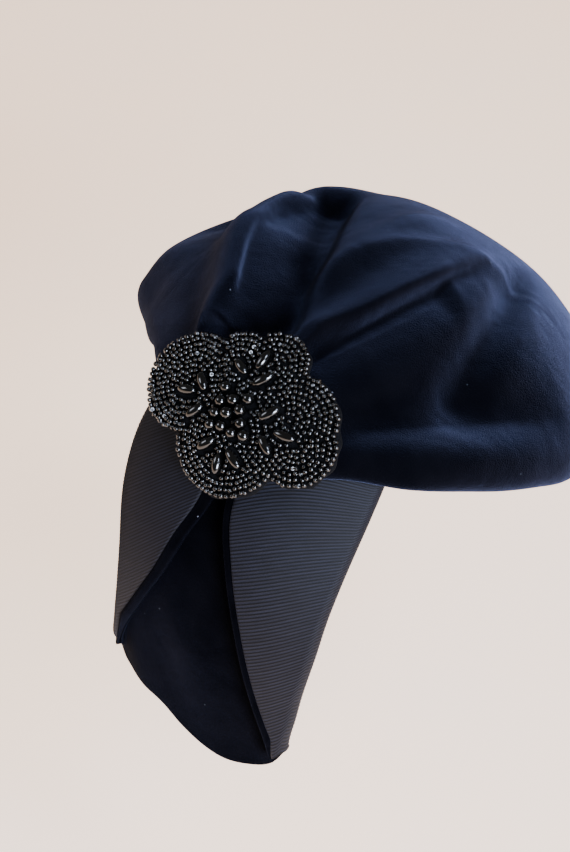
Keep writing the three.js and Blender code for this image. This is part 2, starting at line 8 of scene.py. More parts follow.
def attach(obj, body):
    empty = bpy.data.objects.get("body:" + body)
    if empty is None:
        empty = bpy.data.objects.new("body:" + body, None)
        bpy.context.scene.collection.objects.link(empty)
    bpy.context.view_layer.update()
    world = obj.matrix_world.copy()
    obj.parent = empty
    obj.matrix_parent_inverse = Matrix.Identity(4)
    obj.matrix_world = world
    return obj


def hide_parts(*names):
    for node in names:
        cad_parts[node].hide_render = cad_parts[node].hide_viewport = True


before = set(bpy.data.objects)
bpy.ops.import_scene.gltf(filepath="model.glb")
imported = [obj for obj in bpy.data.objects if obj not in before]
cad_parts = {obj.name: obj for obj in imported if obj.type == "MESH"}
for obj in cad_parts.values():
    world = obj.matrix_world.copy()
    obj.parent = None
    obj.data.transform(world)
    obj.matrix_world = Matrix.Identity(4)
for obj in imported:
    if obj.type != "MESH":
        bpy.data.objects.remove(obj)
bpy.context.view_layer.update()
print("frame loaded")

mm = 0.001
degree = np.pi / 180
rng = np.random.default_rng(7)

hollow = {"side": 77.0, "back": 97.0, "up": 92.0}  # mm, half axes of the hollow, whose top is the origin
halfAxes = np.array([hollow["side"], hollow["back"], hollow["up"]])
meanRadius = 88  # mm, of the hollow where the folds run
mmPerDegree = meanRadius * degree  # along the hollow's surface


# Curves through tables

# Cubic between two places with a slope at each: the usual four Hermite polynomials.
def hermite(x, places, values, slopes):
    width = places[1] - places[0]
    t = (x - places[0]) / width
    return ((2 * t**3 - 3 * t**2 + 1) * values[0] + (t**3 - 2 * t**2 + t) * slopes[0] * width
            + (3 * t**2 - 2 * t**3) * values[1] + (t**3 - t**2) * slopes[1] * width)


# Smooth curve through a table that closes after 360 degrees. Slopes are taken across the two neighbours.
def roundCurve(places, values, x):
    places = np.asarray(places, float)
    values = np.asarray(values, float)
    count = len(places)
    turned = (np.asarray(x, float) - places[0]) % 360 + places[0]
    index = np.searchsorted(places, turned, side="right") - 1
    around = np.arange(-1, count + 2)
    far = places[around % count] + 360 * (around // count)
    near = values[around % count]
    slopes = [(near[index + 2 + k] - near[index + k]) / (far[index + 2 + k] - far[index + k])
              for k in range(2)]
    return hermite(turned, (far[index + 1], far[index + 2]), (near[index + 1], near[index + 2]), slopes)


# Smooth curve through a table with two ends, level outside them. Its slopes are taken in the same way.
def levelCurve(places, values, x):
    at = np.clip(x, places[0], places[-1])
    index = np.clip(np.searchsorted(places, at, side="right") - 1, 0, len(places) - 2)
    slopes = np.concatenate((
        [(values[1] - values[0]) / (places[1] - places[0])],
        (values[2:] - values[:-2]) / (places[2:] - places[:-2]),
        [(values[-1] - values[-2]) / (places[-1] - places[-2])]))
    return hermite(at, (places[index], places[index + 1]), (values[index], values[index + 1]),
                   (slopes[index], slopes[index + 1]))


# Cubic Bezier of four control values at shares of the way.
def bezier(controls, share):
    s = np.clip(share, 0, 1)
    r = 1 - s
    return controls[0] * r**3 + 3 * controls[1] * s * r**2 + 3 * controls[2] * s**2 * r + controls[3] * s**3


# 0 below 0, 1 above 1, and 3 s squared less 2 s cubed between them, so level at both.
def smooth(x):
    s = np.clip(x, 0, 1)
    return s * s * (3 - 2 * s)


# Directions and the hollow

# Unit direction of an azimuth (0 is the back, + the wearer's right) and a latitude, in degrees.
def unit(azimuth, latitude):
    a, l = azimuth * degree, latitude * degree
    return np.array([np.sin(a) * np.cos(l), -np.cos(a) * np.cos(l), np.sin(l)])


# The hollow's unit normal in a direction: each part of the direction over its half axis, at unit length.
def normalOf(direction):
    normal = direction / halfAxes
    return normal / np.linalg.norm(normal, axis=-1, keepdims=True)


# Point at a height over the hollow: the ellipsoid's point in that direction, moved out along its normal.
def over(direction, height):
    base = direction * halfAxes - np.array([0, 0, hollow["up"]])
    return base + normalOf(direction) * np.asarray(height)[..., None]


# Distances and bearings around a direction, in degrees. Bearing 0 is towards another one.
class Compass:
    def __init__(self, centre, towards):
        self.centre = centre
        ahead = towards - centre * (towards @ centre)
        self.ahead = ahead / np.linalg.norm(ahead)
        right = np.cross(self.ahead, centre)
        self.right = right if right[0] > 0 else -right

    # The angle from the centre, and the angle whose tangent is the part to the right over the part ahead.
    def read(self, direction):
        distance = np.arccos(np.clip(direction @ self.centre, -1, 1)) / degree
        return distance, np.arctan2(direction @ self.right, direction @ self.ahead) / degree

    # The centre times the distance's cosine, plus the bearing's level direction times its sine.
    def direction(self, distance, bearing):
        d = np.asarray(distance)[..., None] * degree
        b = np.asarray(bearing)[..., None] * degree
        return self.centre * np.cos(d) + np.sin(d) * (self.ahead * np.cos(b) + self.right * np.sin(b))


# Great-circle way from one direction to others: sines of the two parts of the angle between them.
def between(start, ends, share):
    angle = np.arccos(np.clip(ends @ start, -1, 1))[..., None]
    return (np.sin(angle * (1 - share)) * start + np.sin(angle * share) * ends) / np.sin(angle)


gather = unit(-4.5, 51)  # where the pleats come together, under the flower
gatherCompass = Compass(gather, np.array([0, 0, 1.0]))
middleCompass = Compass(unit(180, 80), np.array([0, -1.0, 0]))


# Meshes

# A mesh from points in millimetres and faces as index arrays, all smooth.
def makeMesh(name, points, faces, material, uv=None):
    mesh = bpy.data.meshes.new(name)
    counts = np.concatenate([np.full(len(f), f.shape[1]) for f in faces])
    corners = np.concatenate([f.ravel() for f in faces]).astype(np.int32)
    mesh.vertices.add(len(points))
    mesh.vertices.foreach_set("co", (np.asarray(points) * mm).astype(np.float32).ravel())
    mesh.loops.add(len(corners))
    mesh.loops.foreach_set("vertex_index", corners)
    mesh.polygons.add(len(counts))
    mesh.polygons.foreach_set("loop_start", np.concatenate(([0], np.cumsum(counts)[:-1])).astype(np.int32))
    mesh.polygons.foreach_set("loop_total", counts.astype(np.int32))
    mesh.update(calc_edges=True)
    mesh.validate()
    mesh.polygons.foreach_set("use_smooth", np.ones(len(counts), bool))
    if uv is not None:
        layer = mesh.uv_layers.new(name="cloth")
        layer.data.foreach_set("uv", uv[corners].astype(np.float32).ravel())
    mesh.materials.append(material)
    piece = bpy.data.objects.new(name, mesh)
    bpy.context.scene.collection.objects.link(piece)
    return piece


# Faces of a tube of rings with as many points each. A closed one ends on two poles.
def ringFaces(rings, count, closed):
    ring = np.arange(rings - 1)[:, None] * count
    here = np.arange(count)[None, :]
    there = (here + 1) % count
    corners = [ring + here, ring + count + here, ring + count + there, ring + there]
    quads = np.stack(corners, -1).reshape(-1, 4)
    if not closed:
        return [quads]
    first = rings * count
    last = first + 1
    ends = (rings - 1) * count
    caps = np.concatenate([
        np.stack([np.full(count, first), here[0], there[0]], -1),
        np.stack([np.full(count, last), ends + there[0], ends + here[0]], -1)])
    return [quads, caps]


# Turns the faces round if the volume that they hold is negative.
def facesOut(points, faces):
    volume = sum(np.einsum("ij,ij->", points[f[:, 0]], np.cross(points[f[:, k]], points[f[:, k + 1]]))
                 for f in faces for k in range(1, f.shape[1] - 1))
    return faces if volume > 0 else [f[:, ::-1] for f in faces]


# Materials

# One sRGB hex colour as linear values.
def toLinear(code):
    srgb = np.array([int(code[i:i + 2], 16) for i in (1, 3, 5)]) / 255
    return [*np.where(srgb <= 0.04045, srgb / 12.92, ((srgb + 0.055) / 1.055) ** 2.4), 1.0]


# Adds a node, sets its values by name, and links its inputs from other nodes' outputs.
def addNode(tree, kind, settings=None, inputs=None):
    node = tree.nodes.new("ShaderNode" + kind)
    for name, value in (settings or {}).items():
        setattr(node, name, value)
    for name, value in (inputs or {}).items():
        if isinstance(value, bpy.types.NodeSocket):
            tree.links.new(value, node.inputs[name])
        else:
            node.inputs[name].default_value = value
    return node


# A material with an empty node tree.
def newMaterial(name):
    material = bpy.data.materials.new(name)
    material.use_nodes = True
    material.node_tree.nodes.clear()
    return material, material.node_tree


# Shows the shader on the material's surface.
def finishMaterial(tree, shader):
    addNode(tree, "OutputMaterial", inputs={"Surface": shader.outputs[0]})


silkVelvet = {
    "shade": "#010102", "crushed": "#030305",  # pile seen end on, and where it is pressed aside
    "sheen": "#535a78", "sheenRoughness": 0.41, "roughness": 0.9, "specular": 0.01,
    "sheenWeight": {"crown": 1.0, "tail": 0.15},  # painted shade: the tail's sheen is turned down for the head that it hangs against, which keeps light from below off it; its pile also lies against the nap
    "tuft": 0.5, "tuftDepth": 0.3,  # mm between tufts, drawn coarser than the real pile so that it shows
    "crush": 14.0, "crushDepth": 1.0,  # mm between crush marks
    "lint": 9.0, "lintColour": "#7d8390",  # mm between lint specks
}


# Silk velvet: cut pile drinks the light that falls straight in and glows blue along its edges.
def makeVelvet(name, look, sheenWeight):
    material, tree = newMaterial(name)
    place = addNode(tree, "TexCoord").outputs["Object"]
    crush = addNode(tree, "TexNoise", inputs={
        "Vector": place, "Scale": 1 / (look["crush"] * mm), "Detail": 2, "Roughness": 0.5, "Distortion": 0.2})
    pile = addNode(tree, "TexNoise", inputs={
        "Vector": place, "Scale": 1 / (look["tuft"] * mm), "Detail": 3, "Roughness": 0.65})
    tone = addNode(tree, "ValToRGB", inputs={"Fac": crush.outputs["Fac"]})
    tone.color_ramp.elements[0].position = 0.36
    tone.color_ramp.elements[0].color = toLinear(look["shade"])
    tone.color_ramp.elements[1].position = 0.7
    tone.color_ramp.elements[1].color = toLinear(look["crushed"])
    lint = addNode(tree, "TexVoronoi", inputs={"Vector": place, "Scale": 1 / (look["lint"] * mm)})
    speck = addNode(tree, "MapRange", {"interpolation_type": "SMOOTHSTEP"}, {
        "Value": lint.outputs["Distance"], "From Min": 0.035, "From Max": 0.02, "To Min": 0, "To Max": 0.35})
    colour = addNode(tree, "Mix", {"data_type": "RGBA"}, {
        "Factor": speck.outputs[0], "A": tone.outputs["Color"], "B": toLinear(look["lintColour"])})
    rough = addNode(tree, "MapRange", inputs={
        "Value": crush.outputs["Fac"], "To Min": look["roughness"] + 0.1, "To Max": look["roughness"] - 0.1})
    low = addNode(tree, "Bump", inputs={
        "Height": crush.outputs["Fac"], "Strength": 0.8, "Distance": look["crushDepth"] * mm})
    bump = addNode(tree, "Bump", inputs={
        "Height": pile.outputs["Fac"], "Normal": low.outputs["Normal"], "Strength": 0.9,
        "Distance": look["tuftDepth"] * mm})
    shader = addNode(tree, "BsdfPrincipled", inputs={
        "Base Color": colour.outputs["Result"], "Roughness": rough.outputs[0],
        "Normal": bump.outputs["Normal"],
        "Specular IOR Level": look["specular"], "Sheen Weight": sheenWeight,
        "Sheen Roughness": look["sheenRoughness"], "Sheen Tint": toLinear(look["sheen"])})
    finishMaterial(tree, shader)
    return material


ribbedSilk = {
    "rib": 1.12,  # mm from rib to rib
    "ridge": "#14161f", "grooveShade": "#010102", "warm": "#14131a",  # warm: the ridges' browner patches; the groove colour is painted shade between the ribs
    "thread": 0.3, "threadDepth": 0.06,  # mm from warp thread to warp thread
    "slub": 0.12, "patches": 60,  # a slub's thickness over its length, and patches to a metre
    "roughness": 0.62, "specular": 0.12, "sheenWeight": 0.12, "sheenRoughness": 0.4, "sheen": "#666d86",
}


# Grosgrain: a fine silk warp over thick cords, with painted shade in the grooves between them and a faint
# shine on each rib.
def makeRibbed(name, look):
    material, tree = newMaterial(name)
    uv = addNode(tree, "UVMap", {"uv_map": "cloth"}).outputs["UV"]
    place = addNode(tree, "TexCoord").outputs["Object"]
    rib = addNode(tree, "TexWave", {"bands_direction": "Y", "wave_profile": "SIN"}, {
        "Vector": uv, "Scale": np.pi / 10 / (look["rib"] * mm), "Distortion": 0})
    along = addNode(tree, "Mapping", inputs={"Vector": uv, "Scale": (look["slub"], 1, 1)})
    slub = addNode(tree, "TexNoise", inputs={
        "Vector": along.outputs[0], "Scale": 1 / (look["rib"] * mm), "Detail": 1})
    warp = addNode(tree, "TexWave", {"bands_direction": "X"}, {
        "Vector": uv, "Scale": np.pi / 10 / (look["thread"] * mm), "Distortion": 0.4, "Detail Scale": 2})
    cloud = addNode(tree, "TexNoise", inputs={"Vector": place, "Scale": look["patches"], "Detail": 2})
    ridge = addNode(tree, "Mix", {"data_type": "RGBA"}, {
        "Factor": cloud.outputs["Fac"], "A": toLinear(look["ridge"]), "B": toLinear(look["warm"])})
    # Painted shade: the ribs' wave blends the near black groove colour into the grooves between them.
    profile = addNode(tree, "MapRange", {"interpolation_type": "SMOOTHSTEP"}, {
        "Value": rib.outputs["Fac"], "From Min": 0.1, "From Max": 0.75})
    cordAndGrooveShade = addNode(tree, "Mix", {"data_type": "RGBA"}, {
        "Factor": profile.outputs[0], "A": toLinear(look["grooveShade"]), "B": ridge.outputs["Result"]})
    shade = addNode(tree, "MapRange", inputs={
        "Value": slub.outputs["Fac"], "From Min": 0.3, "From Max": 0.7, "To Min": 0.75, "To Max": 1.15})
    colour = addNode(tree, "Mix", {"data_type": "RGBA", "blend_type": "MULTIPLY"}, {
        "Factor": 1.0, "A": cordAndGrooveShade.outputs["Result"], "B": shade.outputs[0]})
    bump = addNode(tree, "Bump", inputs={
        "Height": warp.outputs["Fac"], "Strength": 0.3, "Distance": look["threadDepth"] * mm})
    shader = addNode(tree, "BsdfPrincipled", inputs={
        "Base Color": colour.outputs["Result"], "Roughness": look["roughness"],
        "Normal": bump.outputs["Normal"],
        "Specular IOR Level": look["specular"], "Sheen Weight": look["sheenWeight"],
        "Sheen Roughness": look["sheenRoughness"], "Sheen Tint": toLinear(look["sheen"])})
    finishMaterial(tree, shader)
    return material


netCloth = {
    "thread": "#020203", "gap": "#050507", "roughness": 0.9, "specular": 0.1,
    "mesh": 0.9, "threadDepth": 0.1,  # mm from thread to thread
}


# Dark silk net under the beads: matte threads with greyer gaps.
def makeNet(name, look):
    material, tree = newMaterial(name)
    place = addNode(tree, "TexCoord").outputs["Object"]
    cells = addNode(tree, "TexVoronoi", {"feature": "DISTANCE_TO_EDGE"}, {
        "Vector": place, "Scale": 1 / (look["mesh"] * mm)})
    thread = addNode(tree, "MapRange", {"interpolation_type": "SMOOTHSTEP"}, {
        "Value": cells.outputs["Distance"], "From Min": 0.05, "From Max": 0.16})
    colour = addNode(tree, "Mix", {"data_type": "RGBA"}, {
        "Factor": thread.outputs[0], "A": toLinear(look["thread"]), "B": toLinear(look["gap"])})
    bump = addNode(tree, "Bump", {"invert": True}, {
        "Height": thread.outputs[0], "Strength": 0.6, "Distance": look["threadDepth"] * mm})
    shader = addNode(tree, "BsdfPrincipled", inputs={
        "Base Color": colour.outputs["Result"], "Roughness": look["roughness"],
        "Normal": bump.outputs["Normal"], "Specular IOR Level": look["specular"]})
    finishMaterial(tree, shader)
    return material


blackGlass = {
    "body": "#020202", "film": "#040404", "roughness": 0.1, "ior": 1.6,
    "wave": 2.0, "waveDepth": 0.1,  # mm between slight waves of the pressed surface
}


# Pressed black glass: opaque and polished, with slight waves that break up its glints.
def makeGlass(name, look):
    material, tree = newMaterial(name)
    place = addNode(tree, "TexCoord").outputs["Object"]
    wave = addNode(tree, "TexNoise", inputs={
        "Vector": place, "Scale": 1 / (look["wave"] * mm), "Detail": 1})
    colour = addNode(tree, "Mix", {"data_type": "RGBA"}, {
        "Factor": wave.outputs["Fac"], "A": toLinear(look["body"]), "B": toLinear(look["film"])})
    rough = addNode(tree, "MapRange", inputs={
        "Value": wave.outputs["Fac"],
        "To Min": look["roughness"] - 0.06, "To Max": look["roughness"] + 0.1})
    bump = addNode(tree, "Bump", inputs={
        "Height": wave.outputs["Fac"], "Strength": 0.2, "Distance": look["waveDepth"] * mm})
    shader = addNode(tree, "BsdfPrincipled", inputs={
        "Base Color": colour.outputs["Result"], "Roughness": rough.outputs[0],
        "Normal": bump.outputs["Normal"], "IOR": look["ior"]})
    finishMaterial(tree, shader)
    return material


velvet = makeVelvet("silkVelvet", silkVelvet, silkVelvet["sheenWeight"]["crown"])
# The tail's copy of the velvet, with its sheen turned down as painted shade.
paintedShadeVelvet = makeVelvet("silkVelvetPaintedShade", silkVelvet, silkVelvet["sheenWeight"]["tail"])
ribbed = makeRibbed("grosgrainSilk", ribbedSilk)
net = makeNet("silkNet", netCloth)
glass = makeGlass("pressedBlackGlass", blackGlass)
print("materials made")


# Crown

# bearing around the crown's middle, then the edge's reach in degrees, its roll's radius in mm, how far the
# roll turns in degrees, and its low side's height in mm
edge = np.array([
    [-159, 65.0, 4.0, 92, 0.6], [-122, 67.2, 5.5, 105, 1.8], [-96, 66.8, 8.0, 140, 2.6],
    [-80, 63.8, 9.0, 150, 2.6], [-69, 59.7, 9.0, 150, 2.6], [-54, 55.4, 8.0, 140, 3.2],
    [-43, 52.5, 5.0, 95, 7.4], [-22, 55.2, 3.5, 90, 7.4], [-9, 57.9, 3.5, 90, 7.4],
    [9, 57.9, 3.5, 90, 7.4], [28, 55.4, 3.5, 90, 7.4], [44, 57.0, 5.0, 92, 7.4],
    [56, 58.5, 8.0, 140, 3.2], [64, 60.0, 9.0, 150, 2.6], [75, 62.2, 9.0, 150, 2.6],
    [85, 64.5, 8.5, 145, 2.6], [106, 66.5, 6.5, 120, 1.8], [137, 65.5, 4.0, 95, 0.6],
    [169, 64.5, 4.0, 92, 0.6]])

shares = [0, 0.25, 0.45, 0.62, 0.78, 0.92]  # of the way from the middle to the edge
# bearing, then the velvet's height in mm at those shares
puff = np.array([
    [-143, 10, 9.9, 10.2, 10.5, 9.3, 8.2], [-117, 10.1, 10.8, 12.2, 11.5, 10.7, 9.6],
    [-94, 10, 10.8, 11.4, 14, 17.7, 16.4], [-80, 10, 10.9, 11.8, 16.2, 22.4, 20.5],
    [-72, 10, 11, 12.2, 16, 22.4, 22], [-62, 10, 11.4, 13.6, 15.8, 17.4, 15.4],
    [-39, 10, 11.5, 12, 12, 12.3, 12.4], [0, 10, 11.5, 12, 11.8, 11.6, 11.6],
    [35, 10, 11.5, 11, 10.5, 10.4, 12.5], [59, 10, 11, 10.5, 9, 8.6, 14.7],
    [85, 10, 9.5, 9, 9, 10, 12.5], [111, 10, 7.9, 6.4, 5.8, 5.6, 7], [143, 10, 6.8, 4.6, 4, 3.6, 4.6],
    [180, 10, 7.6, 5, 4, 4.2, 4.7]])

# Each fold runs out from the gather: start and end in degrees, four control bearings, height and the
# widths to its two sides in mm, how square each side's shoulder is, the degrees over which it fades in and
# out, and how many mm its crest hangs over to the wearer's right.
folds = {
    "roll": (8, 70, (-52, -46, -42, -34), 4.8, (6, 5), (2.2, 2.4), 7, 16, 4.0),
    "skirt": (8, 70, (-52, -46, -42, -34), 3, (7, 12), (2.4, 1.8), 7, 16, 0),
    "valley": (8, 66, (-6, -15, -25, -30), -8.5, (10, 8), (2.2, 2.6), 9, 7, 0),
    "ridge": (18, 68, (-2, -3, -1, 4), 2.5, (6, 7), (2, 2), 10, 16, 0),
    "line": (22, 72, (-5, 0, 13, 33), 1.5, (3.5, 5), (1.6, 1.6), 10, 18, 0),
    "vale": (16, 62, (6, 14, 20, 26), -1.5, (7, 7), (2, 2), 8, 20, 0),
    "pleat": (10, 68, (21, 24, 20, 16), 4.8, (7, 3), (2, 2.4), 6, 24, 1.5),
    "pocket": (12, 47, (28, 28.5, 27, 26), -4, (3, 8), (3, 1.6), 6, 4, 0),
    "shelf": (16, 70, (76, 66, 61, 58), -3.5, (10, 5), (2, 2), 12, 16, 0),
    "underfold": (14, 44, (34, 36, 32, 29), 0.3, (1.2, 3), (1.4, 1.2), 6, 8, 0),
}
# Each arc runs round the gather: start and end bearing, four control distances, height, the widths to its
# near and far side in mm, and the degrees over which it fades in and out.
arcs = {
    "channel": (16, 70, (77, 55, 37, 47), -5, (9, 8), 12, 14),
    "brow": (-68, -20, (56, 62, 70, 68), 3.6, (6, 9), 16, 14),
}

crownLook = {
    "columns": 336, "rows": 150, "edgeRows": 18, "insideEvery": 4, "wall": 2.3,
    "lean": {"bearing": -44, "spread": 30, "ends": 0.35},  # how the mesh's columns follow the roll
    "rim": {"folds": 0.15, "fade": 7},  # share of the folds' height at the edge, degrees of their fading
    "hang": {"after": 10, "fade": 8, "powers": (2, 4)},  # degrees past a fold's start, and its shoulders
    # the bowl that the flower presses: height, radius, how high and how wide its rim is, where that starts
    # outside the lobes, and over how many mm it blends with the velvet
    "bowl": {"height": 12.0, "radius": 90, "rim": 40, "wide": 8, "start": -0.5, "blend": 1.2},
}

flower = {
    # x, y and radius of each lobe in mm, to the wearer's right and up from the gather
    "lobes": np.array([[-15.1, 1.4, 16], [-3.4, 11.7, 11.6], [7.2, 17.2, 11], [21.4, 4.8, 15],
                       [27.6, -0.6, 12.2], [14.9, -9.6, 8.8], [7, -7.4, 18.3]]),
    "centre": (3.0, -0.5), "seat": 12.45, "wall": 1.8,
    "scallops": 9, "scallop": 0.4,  # waves round each lobe's edge and their height
    "blend": 24,  # power of the mean that joins the lobes, more is sharper
    "bends": {"side": 200, "upper": 250, "lower": 90},  # mm, radii to which the flower is bent back
}


# Share of a fold's height at a distance across it: exp of minus the distance over the width, to a power.
def profile(across, widths, powers):
    width = np.where(across < 0, widths[0], widths[1])
    power = np.where(across < 0, powers[0], powers[1])
    return np.exp(-np.abs(across / width) ** power)


# One fold at distances and bearings from the gather: its height times two fades along it times its profile
# across it, and its overhang times the same fades and a rounder profile.
def oneFold(fold, distance, bearing, span):
    start, end, bearings, rise, widths, powers, fadeIn, fadeOut, hang = fold
    off = (bearing - bezier(bearings, (distance - start) / (end - start)) + 180) % 360 - 180
    fades = smooth((distance - start) / fadeIn) * smooth((end - distance) / fadeOut)
    across = off * degree * span
    hanging = crownLook["hang"]
    hangFades = fades * smooth((distance - start - hanging["after"]) / hanging["fade"])
    return (rise * fades * profile(across, widths, powers),
            hang * hangFades * profile(across, widths, hanging["powers"]))


# One arc's height: the same product, with its profile across the distance from the gather.
def oneArc(arc, distance, bearing):
    start, end, distances, rise, widths, fadeIn, fadeOut = arc
    off = (distance - bezier(distances, (bearing - start) / (end - start))) * mmPerDegree
    fades = smooth((bearing - start) / fadeIn) * smooth((end - bearing) / fadeOut)
    return rise * fades * profile(off, widths, (2, 2))


# Sum of the heights of all the folds and arcs, and of the folds' overhangs.
def foldHeight(distance, bearing):
    span = np.sin(distance * degree) * meanRadius
    parts = [oneFold(fold, distance, bearing, span) for fold in folds.values()]
    low = sum(oneArc(arc, distance, bearing) for arc in arcs.values())
    return sum(part[0] for part in parts) + low, sum(part[1] for part in parts)


# How deep the flower is bent back at x, y: a parabola sideways plus one up or down.
def bend(x, y):
    bends = flower["bends"]
    return x * x / (2 * bends["side"]) + y * y / (2 * np.where(y < 0, bends["lower"], bends["upper"]))


# How far x, y is outside the nearest of the flower's lobes, in mm.
def outside(x, y):
    lobes = flower["lobes"]
    return np.min([np.hypot(x - lobe[0], y - lobe[1]) - lobe[2] for lobe in lobes], 0)


# Height of the velvet: the puff's two-way spline plus the folds, and softly the lesser of that and the
# bowl under the flower, a parabola less the flower's bend. Also how far it hangs over sideways, and its
# height without the rising part of the folds.
def crownHeight(direction):
    rim = crownLook["rim"]
    bowl = crownLook["bowl"]
    distance, bearing = middleCompass.read(direction)
    reach = roundCurve(edge[:, 0], edge[:, 1], bearing)
    share = np.clip(distance / reach, 0, shares[-1])
    rings = [roundCurve(puff[:, 0], puff[:, 1 + i], bearing) for i in range(len(shares))]
    puffed = levelStack(shares, rings, share)
    inside = smooth((reach - distance) / rim["fade"])
    far, around = gatherCompass.read(direction)
    raised, hang = foldHeight(far, around)
    raised = raised * (rim["folds"] + (1 - rim["folds"]) * inside)
    free = puffed + raised
    span = far * mmPerDegree
    x, y = span * np.sin(around * degree), span * np.cos(around * degree)
    edgeRise = bowl["rim"] * smooth((outside(x, y) - bowl["start"]) / bowl["wide"])
    press = bowl["height"] + span**2 / (2 * bowl["radius"]) - bend(x, y) + edgeRise
    blend = np.clip(0.5 + 0.5 * (press - free) / bowl["blend"], 0, 1)
    height = press * (1 - blend) + free * blend - bowl["blend"] * blend * (1 - blend)
    return height, hang * inside * blend, height - np.maximum(raised, 0) * blend


# Moves directions round the gather by a distance in mm: their bearing grows by it over the radius there.
def movedAside(direction, mmAside):
    least = 4  # mm, so that nothing spins beside the gather
    distance, bearing = gatherCompass.read(direction)
    span = np.maximum(np.sin(distance * degree) * meanRadius, least)
    return gatherCompass.direction(distance, bearing + mmAside / span / degree)


# Like levelCurve, with no slope at its ends, where each place in the table holds a whole array of values.
def levelStack(places, stack, x):
    places = np.asarray(places, float)
    stack = np.array(stack)
    index = np.clip(np.searchsorted(places, x, side="right") - 1, 0, len(places) - 2)
    widths = (places[2:] - places[:-2]).reshape(-1, *[1] * (stack.ndim - 1))
    level = np.zeros_like(stack[:1])
    slopes = np.concatenate([level, (stack[2:] - stack[:-2]) / widths, level])
    pick = np.indices(x.shape)
    before, after = (index, *pick), (index + 1, *pick)
    return hermite(x, (places[index], places[index + 1]), (stack[before], stack[after]),
                   (slopes[before], slopes[after]))


# Columns near the roll are turned round the gather so that they run along it: by the roll's bearing less
# the lean's, times exp of minus the squared distance from it over the spread.
def leant(direction, share):
    lean = crownLook["lean"]
    distance, bearing = gatherCompass.read(direction)
    start, end, bearings = folds["roll"][:3]
    turn = bezier(bearings, (distance - start) / (end - start)) - lean["bearing"]
    near = np.exp(-((bearing - lean["bearing"]) / lean["spread"]) ** 2)
    return gatherCompass.direction(distance, bearing + turn * near * smooth((1 - share) / lean["ends"]))


# One closed sheet: out from the gather over the folds, round the rolled edge and back inside at the wall's
# depth. In the roll a row at angle a is at the edge's start plus radius times sin a, and falls with cos a.
def makeCrown():
    look = crownLook
    wall = look["wall"]
    bearing = np.arange(look["columns"]) * 360 / look["columns"]
    reach, roll, turn, low = (roundCurve(edge[:, 0], edge[:, k], bearing) for k in range(1, 5))
    start = middleCompass.direction(reach - roll / mmPerDegree, bearing)
    share = (np.arange(1, look["rows"] + 1) / look["rows"])[:, None]
    direction = leant(between(gather, start[None], share[..., None]), share)
    height, hang, plain = crownHeight(direction)
    top = height[-1]
    half = np.minimum((top + low) / 2, top - wall)
    angle = (np.arange(1, look["edgeRows"] + 1) / look["edgeRows"])[:, None] * turn * degree
    outer = middleCompass.direction(reach - (roll - roll * np.sin(angle)) / mmPerDegree, bearing)
    inner = middleCompass.direction(reach - (roll - (roll - wall) * np.sin(angle)) / mmPerDegree, bearing)
    lining = slice(look["insideEvery"] - 1, None, look["insideEvery"])
    rings = np.concatenate([
        over(movedAside(direction, hang), height),
        over(outer, half + (top - half) * np.cos(angle)),
        over(inner, half + (top - half - wall) * np.cos(angle))[::-1][:-1:2],
        over(direction[lining], plain[lining] - wall)[::-1]])
    centre = crownHeight(gather[None])[0]
    poles = np.stack([over(gather, centre[0]), over(gather, centre[0] - wall)])
    points = np.concatenate([rings.reshape(-1, 3), poles])
    faces = facesOut(points, ringFaces(len(rings), look["columns"], True))
    return makeMesh("crownVelvet", points, faces, velvet)


crown = makeCrown()
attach(crown, "root")
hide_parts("crown")
print("crown made")


# Tail

tailTop = 70.0  # mm above the hollow's middle
# place across the tail (-1 is the left fold, 1 the right one), height of the hem there
hem = np.array([
    [-1, -25.5], [-0.9, -28.5], [-0.75, -28], [-0.5, -26.2], [-0.25, -26.8], [0, -32.6], [0.25, -37],
    [0.5, -39.8], [0.75, -38.8], [0.9, -35.4], [1, -29.3]])
# share of the way down, then the angles round the hollow of the left fold, the right fold, the left
# lapel's edge and the right lapel's edge
tailTable = np.array([
    [0, -38.5, 45.5, 0.2, 3.8], [0.12, -36, 39.7, 0, 4.2], [0.25, -30.6, 34.9, -3.7, 8],
    [0.4, -23.9, 31.1, -7.3, 11.9], [0.55, -21.3, 28.7, -12.5, 14.9], [0.7, -21.3, 26.4, -17.8, 17.5],
    [0.82, -23.2, 24.9, -21.3, 19.6], [0.92, -25.7, 23.6, -24.1, 20.9], [1, -29, 23.6, -28.6, 23]])

tailLook = {
    "rows": 170, "crowding": 1.15, "lapelPoints": 16, "foldPoints": 12, "panelPoints": 44,
    "panel": 2.0, "fold": 2.0, "wall": 2.0,  # mm, panel's height over the hollow, folds' radius, cloth
    "long": 105, "hemRound": 2.4,  # mm, the length of the folds and how far from the hem the edges get round
    # the velvet edge turned over each facing: its width in mm on each side, how much higher it is, where
    # its nose ends, and the lapel's width in mm below which it shrinks
    "turned": {"widths": {-1: 3.6, 1: 2.3}, "rise": 1.3, "nose": 0.55, "points": 12, "whole": 5},
    # a fold opens where its lapel runs out, over mm, down to a least share, and at the hem, over a share
    # of the way down on each side, to another
    "opens": {"over": 6, "least": 0.4, "atHem": 0.1, "uncurl": {-1: 0.15, 1: 0.07}},
    # height in mm, mm per radian down, degrees per radian across and start of each slow wave of the cloth
    "waves": ((0.5, 11, 5, 0), (0.35, 23, 3.1, 1)),
}


